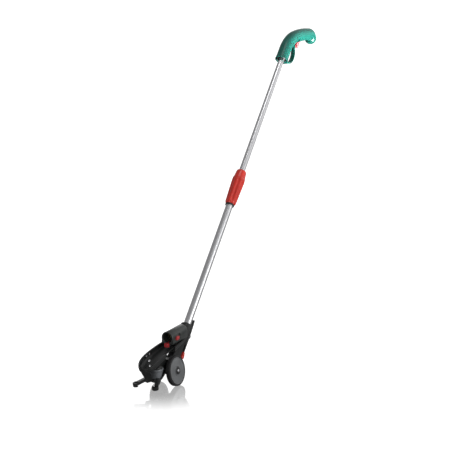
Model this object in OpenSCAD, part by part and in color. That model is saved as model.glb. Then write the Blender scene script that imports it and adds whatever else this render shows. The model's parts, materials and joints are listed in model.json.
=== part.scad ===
// Wheeled telescopic handle and carrier for a cordless lawn edging shear.
// Origin on the ground midway between the wheels.
// -Y is the cutting direction, +X is the operator's left, +Z is up. Millimetres.

/* [Pole] */
// Lean of the pole back from vertical, in degrees
lean = 42; // [41:0.5:43]
// Distance the upper tube is drawn out from its lowest setting
drawn = 350; // [250:10:350]
// Outer diameter of the lower tube
lower_d = 20; // [19.8:0.1:20]
// Outer diameter of the upper tube
upper_d = 17; // [16.8:0.1:17]
// Wall thickness of both tubes
tube_wall = 1.2; // [1:0.1:1.2]

/* [Handle] */
// Outer radius of the handle's round section
grip_r = 18.5; // [18:0.1:18.6]
// Wall thickness of the handle shells
shell_wall = 2.6; // [2.2:0.1:2.8]
// Bend radius between the neck and the grip
bend_r = 113; // [111:1:115]
// Turning angle of that bend, in degrees
bend_a = 40; // [39:0.5:41]
// Radius of the grip's gentle arch
arch_r = 600; // [590:5:610]
// Turning angle of the arch, in degrees
arch_a = 10.7; // [10.4:0.1:10.8]

/* [Twist clamp] */
// Length of the red twist collar
collar_len = 110; // [108:1:112]
// Largest radius of the collar, over its lobes
collar_r = 18; // [17.5:0.1:18.5]
// Number of grip lobes around the collar
collar_lobes = 6; // [5:1:7]

/* [Wheels] */
// Outer radius of a wheel
wheel_r = 39; // [38.5:0.5:39.5]
// Width of the tyre
tyre_w = 14; // [13.6:0.1:14.2]
// Camber of each wheel, tops inward, in degrees
camber = 10; // [9:0.5:10]
// Distance of each hub centre from the middle plane
hub_x = 24.5; // [24.2:0.1:25]
// Radius of the stub axles
axle_r = 4; // [3.8:0.1:4]

/* [Carrier] */
// Outer radius of the dock sleeve
sleeve_r = 16; // [15.8:0.1:16]
// Bore radius of the dock sleeve
dock_r = 13; // [12.5:0.1:13]
// Height of the dock sleeve's axis
dock_z = 122; // [122:0.1:122.4]
// Half width of the cradle at its widest
cradle_w = 25; // [24.5:0.5:26]
// Spread of the two fork prongs from the middle plane, in degrees
fork_spread = 23; // [21:1:24]
// Travel of the dock latch
latch_travel = 8; // [4:1:8]

/* [Hidden] */
$fn = 64;
run = 0.05;              // running clearance on radii
seat = 0.05;             // clearance of fixed pins and sleeves
big = 1400;              // larger than the object
head_y = 123.6;          // point where the pole axis leaves the head
head_z = 148;
socket_foot = -76;       // distances along the pole, from the head
tube_foot = -70;
head_s = -29;
clamp_s = 350;
lower_top = 430;
upper_foot = 20 + drawn;
rim_s = 511 + drawn;
neck_len = 37;
upper_top = rim_s + 44;
lower_r = lower_d / 2;
upper_r = upper_d / 2;
bore_r = lower_r - tube_wall;
inner_r = grip_r - shell_wall;
guard_y = 52;            // centre of the guard's arc from the rim, and its radius
guard_z = 24;
guard_r = 39;
guard_t = 7;
guard_top = 48;
nose_r = 20;             // bend radius and turn of the hooked nose
nose_a = 67;
barrel_r = 16;           // round head of the frame around the pole
socket_r = 13;
lug_x = 8.6;            // outer faces of the lever lugs
pivot_s = -50;           // lever pivot, along and behind the pole axis
pivot_y = 20;
shoe_s = -34;            // lever shoe that grips the tube
shoe_r = 2.6;
trig_z = 42;             // trigger pivot, along and below the grip
trig_y = 8.5;
screw_z = [56, 98];      // handle screws, along the grip
rim_r = wheel_r - 4.8;   // outer radius of the wheel disc
fork_t = 8;              // thickness of the fork, and downward slope of its prongs
fork_drop = 11;
fork_top = 32.9;         // top of the fork's hub, under the turret
fork_rise = 39.6;        // height that the prongs' middle would reach over the hub
fork_reach = 55.5;       // from the hub to a hook's centre
fork_gap = 8;            // offset of each prong from the middle plane at the hub
sleeve_front = 2;
sleeve_back = 80;
dock_depth = 50;
block_r = 11;            // seat of the contact block behind the dock
arm_z = 106.4;           // underside of the latch arm
turret_y = -57;
cradle_back = 58;
screw_wall = [[-52, 92], [-66, 90]];

// ---------- helpers ----------

// Places children on the pole axis, s along it from the head; local y points behind and below
module along_pole(s = 0) {
  translate([0, head_y, head_z])
    rotate([-lean, 0, 0])
      translate([0, 0, s])
        children();
}

// Places children at a wheel's hub with local z outward along the cambered axle
module at_wheel(side) {
  mirror([side < 0 ? 1 : 0, 0, 0])
    translate([hub_x, 0, wheel_r])
      rotate([0, 90 - camber, 0])
        children();
}

module ring(outer, inner, h) {
  difference() {
    cylinder(r = outer, h = h);
    translate([0, 0, -1]) cylinder(r = inner, h = h + 2);
  }
}

// Cylinder along X from x0 to x1
module across(x0, x1, r) {
  translate([x0, 0, 0]) rotate([0, 90, 0]) cylinder(r = r, h = x1 - x0);
}

// Keeps the half of the children on one side of the middle plane
module half(side) {
  intersection() {
    children();
    translate([side > 0 ? 0 : -big, -big, -big]) cube([big, 2 * big, 2 * big]);
  }
}

// Box given by its low and high corners
module span(low, high) {
  translate(low) cube(high - low);
}

// Plate with a side outline in the Y-Z plane, from x0 to x1
module side_plate(x0, x1) {
  translate([x0, 0, 0]) rotate([90, 0, 90]) linear_extrude(x1 - x0) children();
}

// Sweep of a 2D section around a bend that starts along z and turns towards y
module arc_sweep(r, a) {
  translate([0, r, 0])
    rotate([90, 0, -90])
      rotate_extrude(angle = a, $fn = 96) translate([r, 0]) children();
}

module after_arc(r, a) {
  translate([0, r, 0]) rotate([-a, 0, 0]) translate([0, -r, 0]) children();
}

// Round wire wound into a helix along z, computed point by point
module helix(coil_r, wire, turns, rise, steps = 12, sides = 6) {
  count = turns * steps;
  slope = atan2(rise / turns, 2 * PI * coil_r);
  points = [for (i = [0 : count]) for (j = [0 : sides - 1])
    let (t = i * 360 / steps, b = j * 360 / sides, q = coil_r + wire * cos(b))
      [q * cos(t) + wire * sin(b) * sin(slope) * sin(t),
       q * sin(t) - wire * sin(b) * sin(slope) * cos(t),
       rise * i / count + wire * sin(b) * cos(slope)]];
  walls = [for (i = [0 : count - 1]) for (j = [0 : sides - 1]) for (k = [0, 1])
    let (a = i * sides + j, b = i * sides + (j + 1) % sides)
      k == 0 ? [a, a + sides, b] : [a + sides, b + sides, b]];
  ends = [[for (j = [0 : sides - 1]) j], [for (j = [sides - 1 : -1 : 0]) count * sides + j]];
  polyhedron(points, concat(walls, ends), convexity = 8);
}

// ---------- base frame ----------

module column_outline(inset) {
  polygon([
    [turret_y - 6 + inset, 60 + inset], [turret_y + 21, 60 + inset], [-8 + inset, 32 + inset],
    [14, 31 + inset], [39 - inset, 37 + inset], [86 - inset, 91 + inset], [86 - inset, 98 - inset],
    [32 + inset, 98 - inset], [30 + inset, 80], [10, 68 - inset], [-10, 68 - inset],
    [-24, 76 - inset], [turret_y + 10, 78 - inset], [turret_y - 6 + inset, 74 - inset]
  ]);
}

module frame_outer() {
  side_plate(-8, 8) column_outline(0);
  side_plate(-15, 15) polygon([[34, 88], [82, 88], [82, 98], [32, 98]]);
  along_pole(socket_foot - 3) cylinder(r = barrel_r, h = head_s - socket_foot + 3);
  translate([0, turret_y, 60]) cylinder(r = 16, h = 3);
  translate([0, turret_y, 62.5]) intersection() {
    translate([0, 0, -14]) sphere(r = 21.5);
    cylinder(r = 16, h = 10);
  }
  translate([0, 0, wheel_r]) across(-8, 8, 13);
  for (side = [-1, 1])
    at_wheel(side) translate([0, 0, -19]) cylinder(r = 10, h = 10);
  along_pole() {
    span([-lug_x, 12, pivot_s - 5.5], [lug_x, pivot_y, pivot_s + 5.5]);
    translate([0, pivot_y, pivot_s]) across(-lug_x, lug_x, 5.5);
  }
}

module frame_cavity() {
  difference() {
    side_plate(-5.6, 5.6) column_outline(2.6);
    side_plate(-6, 6) {
      translate([0, wheel_r]) circle(12.5);
      translate([33, 50]) circle(5);
      translate([-30, 62]) circle(5);
      translate([46, 88]) circle(5);
      translate([-78, 40]) square([34, 40]);
    }
    along_pole(socket_foot - 3) cylinder(r = socket_r + 2, h = 90);
  }
}

module screw_places() {
  for (p = [[33, 50], [-30, 62], [46, 88]])
    translate([0, p[0], p[1]]) children();
}

module frame_half(side) {
  color([0.13, 0.14, 0.14])
  difference() {
    half(side) frame_outer();
    frame_cavity();
    along_pole(socket_foot) cylinder(r = socket_r + seat, h = 80);
    for (s = [-1, 1])
      at_wheel(s) translate([0, 0, -19.2]) cylinder(r = axle_r + seat, h = 30);
    translate([-1, -40, 31]) cube([2, 80, 22]);
    along_pole() {
      span([-6.4, 16.2, pivot_s - 40], [6.4, 40, pivot_s + 40]);
      translate([0, pivot_y, pivot_s]) across(-20, 20, 2 + seat);
      translate([0, 0, shoe_s]) rotate([-90, 0, 0]) cylinder(r = shoe_r + 1.3, h = 20);
      translate([0, 8, -66]) rotate([-90, 0, 0]) cylinder(r = 3.6, h = 20);
    }
    translate([0, turret_y, 50]) cylinder(r = 2 + seat, h = 16);
    screw_places() {
      across(-9, 6.5, 1.5 + seat);
      across(-9, -5.9, 3 + seat);
    }
  }
}

module frame_left() { frame_half(1); }

module frame_right() { frame_half(-1); }

module frame_screws() {
  color([0.55, 0.56, 0.58])
  screw_places() {
    across(-6, 6, 1.5);
    across(-8, -6, 3);
  }
}

module base_socket() {
  color([0.16, 0.16, 0.17])
  difference() {
    along_pole(socket_foot) cylinder(r = socket_r, h = head_s - socket_foot);
    along_pole(socket_foot + 4) cylinder(r = lower_r + run, h = 90);
    along_pole(socket_foot - 1) cylinder(r = 5, h = 10);
    along_pole() translate([0, 0, shoe_s]) rotate([-90, 0, 0]) cylinder(r = shoe_r + 1.3, h = 20);
  }
}

module head_cap() {
  color([0.17, 0.18, 0.18])
  along_pole(head_s) difference() {
    union() {
      cylinder(r = barrel_r, h = 1.5);
      translate([0, 0, 1]) intersection() {
        translate([0, 0, -16]) sphere(r = 22.6);
        cylinder(r = barrel_r, h = 4.4);
      }
    }
    translate([0, 0, -1]) cylinder(r = lower_r + run, h = 20);
  }
}

// ---------- cradle and dock ----------

// Rounded U-shaped slice of the boat at y
module slice(y, w, floor_z, rim_z, r) {
  for (side = [-1, 1]) {
    translate([side * (w - r), y, floor_z + r]) rotate([90, 0, 0]) cylinder(r = r, h = 0.5, $fn = 32);
    translate([side * (w - 0.5) - 0.5, y - 0.5, rim_z - 1]) cube([1, 0.5, 1]);
  }
}

// Boat-shaped body, shrunk inward by t
module boat(t) {
  up = t > 0 ? 20 : 0;
  hull() {
    slice(cradle_back - t, 20 - t, 98 + t, 106 + up, 2.5);
    slice(-10, cradle_w - t, 87 + t, 103 + up, 6);
  }
  hull() {
    slice(-10, cradle_w - t, 87 + t, 103 + up, 6);
    slice(-62, cradle_w - t, 78 + t, 97 + up, 9);
  }
  hull() {
    slice(-62, cradle_w - t, 78 + t, 97 + up, 9);
    slice(-96 + t * 0.3, cradle_w - 1.5 - t, 68 + t, 88 + up, 10);
    slice(-111 + t * 0.6, 20 - t, 66 + t, 80 + up, 7);
    slice(-119 + t, 12 - t, 66 + t, 76.5 + up, 3);
  }
}

// Bow that runs from the nose down in front of the turret
module bow_shield() {
  difference() {
    hull() {
      translate([0, -95, 72]) cylinder(r = 22, h = 1, $fn = 48);
      translate([0, -77, 35]) cylinder(r = 15, h = 1, $fn = 48);
    }
    hull() {
      translate([0, -92, 74]) cylinder(r = 22, h = 1, $fn = 48);
      translate([0, -73, 33]) cylinder(r = 15, h = 1, $fn = 48);
    }
    side_plate(-40, 40) polygon([[-95, 68.6], [-78, 33], [-40, 33], [-40, 68.6]]);
    for (side = [0, 1])
      mirror([side, 0, 0]) translate([0, -50, 0]) rotate([90, 0, 0]) linear_extrude(80)
        polygon([[10, 30], [14, 68], [40, 68], [40, 30]]);
  }
}

module cradle() {
  color([0.12, 0.13, 0.13])
  difference() {
    union() {
      boat(0);
      bow_shield();
    }
    boat(2.6);
    along_pole(-100) cylinder(r = barrel_r + 0.1, h = 120);
    side_plate(-15.1, 15.1) polygon([[29.8, 80], [82, 80], [82, 98.1], [31.8, 98.1]]);
    side_plate(-8.1, 8.1) polygon([[turret_y - 8, 60], [-24, 60], [-24, 76.1],
      [turret_y + 10, 78.1], [turret_y - 8, 74.2]]);
    // opening in the left wall, under its rail
    side_plate(6.5, 30) polygon([[-48, 78], [-2, 78], [-2, 99.4], [-48, 94.2]]);
    for (p = screw_wall)
      translate([-30, p[0], p[1]]) across(0, 20, 1.5 + seat);
  }
}

module cradle_screws() {
  color([0.62, 0.63, 0.65])
  for (p = screw_wall)
    translate([0, p[0], p[1]]) {
      across(-cradle_w - 1, -cradle_w + 3.6, 1.5);
      across(-cradle_w + 3.2, -cradle_w + 4.7, 3);
    }
}

module sleeve_section() {
  translate([0, dock_z]) circle(sleeve_r);
  polygon([[-16.6, 106.1], [16.6, 106.1], [16.6, 113], [14.4, 129], [-14.4, 129], [-16.6, 113]]);
}

module dock_sleeve() {
  color([0.20, 0.22, 0.21])
  difference() {
    translate([0, sleeve_back, 0]) rotate([90, 0, 0]) linear_extrude(sleeve_back - sleeve_front)
      sleeve_section();
    translate([0, sleeve_front + dock_depth, dock_z]) rotate([90, 0, 0])
      cylinder(r = dock_r, h = dock_depth + 1);
    // relief groove at the end of the bore, then the contact block's seat
    translate([0, sleeve_front + dock_depth + 1, dock_z]) rotate([90, 0, 0])
      cylinder(r = dock_r + 0.8, h = 1.2);
    translate([0, sleeve_front + dock_depth + 12, dock_z]) rotate([90, 0, 0])
      cylinder(r = block_r, h = 12);
    along_pole(-100) cylinder(r = barrel_r + 0.1, h = 120);
    // channel for the latch arm, its tooth and its slider
    span([-5.9, 0, 105], [5.9, 40, 109.2]);
    span([-5.4, 17, 105], [15.2, 40, 109.2]);
    span([13.2, 17, 106], [15.2, 40, 123.4]);
    span([13.2, 17, 113], [30, 40, 123.4]);
    span([13.2, 31, 118], [30, 42, 127]);
    // spring pocket behind the arm
    translate([0, 61, arm_z + 1.1]) rotate([90, 0, 0]) cylinder(r = 1.35, h = 22);
  }
}

module contact_block() {
  color([0.65, 0.55, 0.25])
  translate([0, sleeve_front + dock_depth + 12 - 0.1, dock_z]) rotate([90, 0, 0]) {
    cylinder(r = block_r - seat, h = 7);
    for (x = [-5, 5])
      translate([x, 0, 6]) cylinder(r = 1.5, h = 5);
  }
}

module dock_latch() {
  color([0.70, 0.18, 0.18]) {
    span([-5.4, -5, 99], [5.4, 3, 108.8]);
    span([-5, 2, arm_z], [5, 31, 108.8]);
    span([-5, 18, arm_z], [15, 31, 108.8]);
    span([13.4, 18, arm_z], [15, 31, 122.8]);
    span([13.4, 18, 113.6], [19.4, 31, 122.8]);
  }
}

module latch_spring() {
  color([0.7, 0.7, 0.72])
  translate([0, 31.4, arm_z + 1.1]) rotate([-90, 0, 0]) helix(0.95, 0.25, 16, 28.8);
}

// ---------- rear lever ----------

module back_lever() {
  color([0.10, 0.10, 0.11])
  along_pole() difference() {
    union() {
      side_plate(-6, 6) polygon([[20.6, -94], [20.6, -82], [17.4, pivot_s], [17.4, -12],
        [20, -3], [22, -1], [23.4, -5], [26, -30], [26, -94]]);
      translate([0, lower_r + 0.4, shoe_s]) rotate([-90, 0, 0]) cylinder(r = shoe_r, h = 9);
    }
    translate([0, pivot_y, pivot_s]) across(-10, 10, 2 + run);
    translate([0, 8, -66]) rotate([-90, 0, 0]) cylinder(r = 3.6, h = 11.4);
  }
}

module lever_pad() {
  color([0.75, 0.24, 0.25])
  along_pole() side_plate(-8, 8)
    polygon([[20.6, -111], [20.6, -94.05], [26, -94.05], [30.5, -103], [31, -110], [27.5, -113]]);
}

module lever_pin() {
  color([0.7, 0.7, 0.72])
  along_pole() translate([0, pivot_y, pivot_s]) across(-lug_x, lug_x, 2);
}

module lever_spring() {
  color([0.7, 0.7, 0.72])
  along_pole() translate([0, socket_r + 0.5, -66]) rotate([-90, 0, 0]) helix(2.6, 0.4, 4, 5.2);
}

// ---------- turret and fork ----------

module turret() {
  color([0.20, 0.21, 0.22])
  translate([0, turret_y, 0]) difference() {
    rotate_extrude() polygon([[0, 33], [11, 33], [12.5, 35], [19, 57], [19, 59.9], [0, 59.9]]);
    rotate_extrude() polygon([[0, 38], [10, 38], [16, 57], [0, 57]]);
    translate([0, 0, 20]) cylinder(r = 2 + seat, h = 50);
  }
}

// Height of a prong's face at a distance out from the hub; side is 1 for the top, -1 below
function prong_z(out, side) =
  fork_rise - out * tan(fork_drop) + side * fork_t / 2 / cos(fork_drop);

// One prong along -Y: a foot on the hub, and a sloping bar that ends in an inward hook
module prong() {
  foot = fork_top - fork_t + 0.4;
  lip = fork_t + 0.8;
  side_plate(-4.6, 4.6) polygon([[0, foot], [0, fork_top - 0.4], [-16.5, fork_top - 0.4],
    [-16.5, prong_z(16.5, 1)], [-50, prong_z(50, 1)], [-50, prong_z(50, -1)],
    [-24, prong_z(24, -1)], [-22, foot]]);
  translate([0, 0, fork_rise]) rotate([fork_drop, 0, 0]) translate([-2, -fork_reach, -lip / 2])
    linear_extrude(lip) difference() {
      circle(8.5);
      circle(3.8);
      polygon([[0, 0], [-3.8, 14], [-15, -1]]);
    }
}

module blade_fork() {
  color([0.20, 0.20, 0.21])
  translate([0, turret_y, 0]) difference() {
    union() {
      translate([0, 0, fork_top - fork_t]) cylinder(r = 12.5, h = fork_t);
      for (side = [-1, 1])
        translate([side * fork_gap, 0, 0]) rotate([0, 0, side * fork_spread])
          mirror([side < 0 ? 1 : 0, 0, 0]) prong();
    }
    translate([0, 0, 20]) cylinder(r = 2 + seat, h = 20);
  }
}

module fork_screw() {
  color([0.62, 0.63, 0.65])
  translate([0, turret_y, 0]) {
    translate([0, 0, fork_top - fork_t - 2]) cylinder(r = 4, h = 2);
    translate([0, 0, fork_top - fork_t - 1]) cylinder(r = 2, h = 39);
  }
}

// ---------- wheels ----------

module axle(side) {
  color([0.75, 0.76, 0.78])
  at_wheel(side) {
    translate([0, 0, -19]) cylinder(r = axle_r, h = 29);
    translate([0, 0, -8.9]) cylinder(r = 6, h = 1.5);
  }
}

module left_axle() { axle(1); }

module right_axle() { axle(-1); }

module axle_cap(side) {
  color([0.12, 0.12, 0.13])
  at_wheel(side) translate([0, 0, 7.15]) difference() {
    union() {
      cylinder(r = 8, h = 0.8);
      translate([0, 0, 0.8]) cylinder(r1 = 7.6, r2 = 6, h = 0.9);
    }
    translate([0, 0, -1]) cylinder(r = axle_r + seat, h = 6);
  }
}

module left_axle_cap() { axle_cap(1); }

module right_axle_cap() { axle_cap(-1); }

module wheel(side) {
  color([0.41, 0.42, 0.43])
  at_wheel(side) {
    rotate_extrude($fn = 96) difference() {
      union() {
        translate([axle_r + run, -7.2]) square([5, 14.2]);
        translate([8, 3.4]) square([rim_r - 8, 2.6]);
        translate([rim_r - 3, -6.4]) square([3, 12.4]);
      }
      translate([rim_r - 3.2, 6.6]) circle(1.2, $fn = 24);
      translate([14, 7.4]) circle(2, $fn = 24);
    }
    for (i = [0 : 5])
      rotate([0, 0, i * 60]) span([8, -1, -4], [rim_r - 2, 1, 4]);
  }
}

module left_wheel() { wheel(1); }

module right_wheel() { wheel(-1); }

module tyre(side) {
  edge = 3.4;
  low = rim_r + 0.02;
  color([0.04, 0.04, 0.045])
  at_wheel(side) rotate_extrude($fn = 96) intersection() {
    union() {
      translate([low, -tyre_w / 2 + edge]) square([wheel_r - low, tyre_w - 2 * edge]);
      for (z = [-1, 1])
        translate([wheel_r - edge, z * (tyre_w / 2 - edge)]) circle(edge, $fn = 48);
    }
    translate([low, -10]) square([10, 20]);
  }
}

module left_tyre() { tyre(1); }

module right_tyre() { tyre(-1); }

// ---------- pole ----------

module lower_tube() {
  color([0.80, 0.81, 0.82])
  along_pole(tube_foot) ring(lower_r, bore_r, lower_top - tube_foot);
}

module pole_plug() {
  color([0.15, 0.15, 0.16])
  along_pole(tube_foot - 1.6) {
    cylinder(r = lower_r - 0.1, h = 1.55);
    translate([0, 0, 1]) cylinder(r = bore_r - seat, h = 12);
    translate([0, 0, -4.2]) cylinder(r = 4, h = 5.2);
  }
}

// Lead that stretches inside the tubes
module coiled_lead() {
  low = tube_foot + 14;
  color([0.06, 0.06, 0.06])
  along_pole(low) helix(4.6, 1.3, 18, upper_foot - 5 - low);
}

module clamp_chuck() {
  color([0.16, 0.16, 0.17])
  along_pole(clamp_s - 4) difference() {
    union() {
      cylinder(r = 12, h = collar_len);
      cylinder(r = 12.6, h = 3.8);
    }
    translate([0, 0, -1]) cylinder(r = lower_r + seat, h = lower_top - clamp_s + 5.05);
    cylinder(r = upper_r + run, h = collar_len + 4);
    for (a = [0, 90])
      rotate([0, 0, a]) translate([-20, -0.6, collar_len - 20]) cube([40, 1.2, 30]);
  }
}

module clamp_collar() {
  body = [[12.05, 0], [12.6, 0], [15.2, 6], [collar_r, collar_len - 34],
    [collar_r, collar_len - 27], [16.4, collar_len - 22], [14.6, collar_len - 4],
    [13.4, collar_len], [9.2, collar_len], [9.2, collar_len - 2.6], [12.05, collar_len - 2.6]];
  color([0.83, 0.19, 0.15])
  along_pole(clamp_s) difference() {
    rotate_extrude() polygon(body);
    for (i = [0 : collar_lobes - 1])
      rotate([0, 0, (i + 0.5) * 360 / collar_lobes]) {
        translate([21.6, 0, -1]) cylinder(r = 5.4, h = collar_len - 31);
        translate([21.6, 0, collar_len - 32]) sphere(r = 5.4);
      }
  }
}

module upper_tube() {
  color([0.82, 0.83, 0.84])
  along_pole(upper_foot) ring(upper_r, upper_r - tube_wall, upper_top - upper_foot);
}

module guide_bush() {
  color([0.9, 0.9, 0.88])
  along_pole(upper_foot - 3.05) {
    ring(bore_r - run, upper_r - tube_wall - 1, 3);
    ring(upper_r - tube_wall - seat, upper_r - tube_wall - 1, 14);
  }
}

module upper_lead() {
  color([0.06, 0.06, 0.06])
  along_pole(upper_foot - 1) {
    cylinder(r = 1.6, h = rim_s + neck_len - upper_foot + 1);
    translate([0, 0, rim_s + neck_len - upper_foot + 1])
      arc_sweep(bend_r, bend_a - 1) circle(1.6);
  }
}

// ---------- handle ----------

// Left half of a ring section; its second axis points to the right
module half_ring(outer, inner) {
  intersection() {
    difference() {
      circle(outer);
      circle(inner);
    }
    translate([-outer, -outer]) square([2 * outer, outer]);
  }
}

// Band that stiffens the shell, inside and out, where one bend meets the next
module half_band(outer, inner) {
  translate([0, 0, -1.5]) rotate([0, 0, 90]) linear_extrude(3)
    half_ring(outer + 0.6, inner - 1.4);
}

// Left half of the shell that follows the handle's centre line, closed by a round tip
module half_shell(outer, inner) {
  rotate([0, 0, 90]) linear_extrude(neck_len) half_ring(outer, inner);
  translate([0, 0, neck_len]) {
    half_band(outer, inner);
    arc_sweep(bend_r, bend_a) half_ring(outer, inner);
    after_arc(bend_r, bend_a) {
      half_band(outer, inner);
      arc_sweep(arch_r, arch_a) half_ring(outer, inner);
      after_arc(arch_r, arch_a) {
        half_band(outer, inner);
        arc_sweep(nose_r, nose_a) half_ring(outer, inner);
        after_arc(nose_r, nose_a) {
          half_band(outer, inner);
          rotate([90, 0, -90]) rotate_extrude(angle = 180) intersection() {
            half_ring(outer, inner);
            translate([0, -outer]) square([outer, outer]);
          }
        }
      }
    }
  }
}

// Places children on the grip, z along it from the end of the bend and y downward
module on_grip() {
  along_pole(rim_s + neck_len) after_arc(bend_r, bend_a) children();
}

// Loop that guards the fingers, from the neck's rim round to the underside of the grip
module guard_outline() {
  low = guard_z - guard_r;
  right = guard_y + guard_r;
  translate([guard_y, guard_z]) intersection() {
    difference() {
      circle(guard_r, $fn = 96);
      circle(guard_r - guard_t, $fn = 96);
    }
    translate([0, -guard_r]) square([guard_r, guard_r]);
  }
  polygon([[right - guard_t, guard_z], [right, guard_z], [right, guard_top + 0.7],
    [right - guard_t, guard_top - 0.7]]);
  polygon([[guard_y, low], [guard_y, low + guard_t], [15.6, -4.5], [10.4, -9.8]]);
}

// Left half of the handle, before its openings are cut
module handle_solid() {
  middle_r = (grip_r + inner_r) / 2;
  along_pole(rim_s) {
    half_shell(grip_r, inner_r);
    for (z = [0, neck_len - 6])
      translate([0, 0, z]) rotate([0, 0, 90]) linear_extrude(6)
        half_ring(middle_r, upper_r + seat);
    rotate([lean, 0, 0]) side_plate(0, 5.5) guard_outline();
  }
  on_grip() {
    for (z = screw_z)
      translate([0, -6, z]) across(0, sqrt(middle_r * middle_r - 36), 4);
    translate([0, trig_y, trig_z]) across(0, sqrt(middle_r * middle_r - trig_y * trig_y), 3.6);
  }
}

module handle_half(side) {
  color([0.03, 0.37, 0.32])
  difference() {
    mirror([side < 0 ? 1 : 0, 0, 0]) handle_solid();
    on_grip() {
      span([-6.6, -2, 5], [6.6, 30, trig_z + 7]);
      translate([0, trig_y, trig_z]) across(-9.5, 9.5, 1.5 + seat);
      for (z = screw_z)
        translate([0, -6, z]) {
          across(-30, 9.6, 1.5 + seat);
          across(-30, -10.4, 3 + seat);
        }
    }
  }
}

module handle_left() { handle_half(1); }

module handle_right() { handle_half(-1); }

module handle_screws() {
  color([0.55, 0.56, 0.58])
  on_grip()
    for (z = screw_z)
      translate([0, -6, z]) {
        across(-11, 9.5, 1.5);
        across(-12.4, -10.5, 3);
      }
}

module trigger() {
  color([0.80, 0.35, 0.36])
  on_grip() difference() {
    union() {
      translate([0, trig_y, trig_z]) across(-6, 6, 4.2);
      side_plate(-6, 6) {
        polygon([[4.6, 43], [4.6, 13], [14, 8], [24, 8], [30, 10], [33, 17.3], [28, 21], [18, 34]]);
        translate([31, 14]) circle(4);
      }
    }
    translate([0, trig_y, trig_z]) across(-8, 8, 1.5 + run);
  }
}

module trigger_pin() {
  color([0.7, 0.7, 0.72])
  on_grip() translate([0, trig_y, trig_z]) across(-9, 9, 1.5);
}

module trigger_spring() {
  color([0.7, 0.7, 0.72])
  on_grip() translate([0, 4, 13]) rotate([90, 0, 0]) helix(2.4, 0.35, 5, 12);
}

module micro_switch() {
  color([0.08, 0.08, 0.09])
  on_grip() difference() {
    span([-3.2, -8.5, 20], [3.2, -0.6, 39]);
    translate([0, -4, 33]) rotate([-90, 0, 0]) cylinder(r = 1.1 + run, h = 8);
  }
}

module switch_plunger() {
  color([0.8, 0.2, 0.18])
  on_grip() translate([0, -1.5, 33]) rotate([-90, 0, 0]) cylinder(r = 1.1, h = 5.6);
}

frame_left();
frame_right();
frame_screws();
base_socket();
head_cap();
cradle();
cradle_screws();
dock_sleeve();
contact_block();
dock_latch();
latch_spring();
back_lever();
lever_pad();
lever_pin();
lever_spring();
turret();
blade_fork();
fork_screw();
left_axle();
right_axle();
left_axle_cap();
right_axle_cap();
left_wheel();
right_wheel();
left_tyre();
right_tyre();
lower_tube();
pole_plug();
clamp_chuck();
coiled_lead();
clamp_collar();
upper_tube();
guide_bush();
upper_lead();
handle_left();
handle_right();
handle_screws();
trigger();
trigger_pin();
trigger_spring();
micro_switch();
switch_plunger();
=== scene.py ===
"""Lawn edger handle and carrier: materials, finer meshes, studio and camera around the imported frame."""
import json
import math

import bmesh
import bpy
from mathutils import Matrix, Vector


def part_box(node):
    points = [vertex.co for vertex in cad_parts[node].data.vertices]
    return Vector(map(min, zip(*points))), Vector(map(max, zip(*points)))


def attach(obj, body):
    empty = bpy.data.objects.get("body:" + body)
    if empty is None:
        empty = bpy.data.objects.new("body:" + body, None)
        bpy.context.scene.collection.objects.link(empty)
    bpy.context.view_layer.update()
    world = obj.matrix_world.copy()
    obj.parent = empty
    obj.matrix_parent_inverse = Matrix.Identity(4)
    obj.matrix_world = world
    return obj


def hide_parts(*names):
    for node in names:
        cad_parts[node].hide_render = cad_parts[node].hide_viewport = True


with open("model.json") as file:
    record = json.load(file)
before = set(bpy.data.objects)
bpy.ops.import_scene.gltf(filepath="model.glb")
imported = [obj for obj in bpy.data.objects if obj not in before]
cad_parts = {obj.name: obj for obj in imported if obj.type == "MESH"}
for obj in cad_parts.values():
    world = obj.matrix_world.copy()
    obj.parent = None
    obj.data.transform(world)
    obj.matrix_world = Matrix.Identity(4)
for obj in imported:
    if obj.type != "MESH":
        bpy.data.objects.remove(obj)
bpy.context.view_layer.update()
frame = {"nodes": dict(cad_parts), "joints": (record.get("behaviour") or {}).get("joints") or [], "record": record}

MM = 0.001
TAU = 2 * math.pi
JOINTS = {j["name"]: j for j in frame["joints"]}

# ---------- places taken from the frame ----------

POLE = Vector(JOINTS["telescope"]["axis"]).normalized()
BACK = Vector((0, POLE.z, -POLE.y))            # behind and below the pole
SIDE = Vector((1, 0, 0))
HEAD = Vector(JOINTS["collar_twist"]["pos_m"])
UPPER_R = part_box("upper_tube")[1].x
LOWER_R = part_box("lower_tube")[1].x
GRIP_R = 0.0185
SHELL_WALL = 0.0026
NECK = 0.037                                    # straight stretch of the handle above its rim
BEND_R, BEND_A = 0.113, math.radians(40)
ARCH_R, ARCH_A = 0.600, math.radians(10.7)
NOSE_R, NOSE_A = 0.020, math.radians(67)
RIM_S = 0.861                                   # the handle's rim, along the pole from the head
HUB = Vector(JOINTS["left_wheel_spin"]["pos_m"])
SPIN = Vector(JOINTS["left_wheel_spin"]["axis"]).normalized()


def pole_point(s):
    """A point on the pole's centre line, s along it from the head."""
    return HEAD + POLE * s


# ---------- materials ----------

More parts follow.
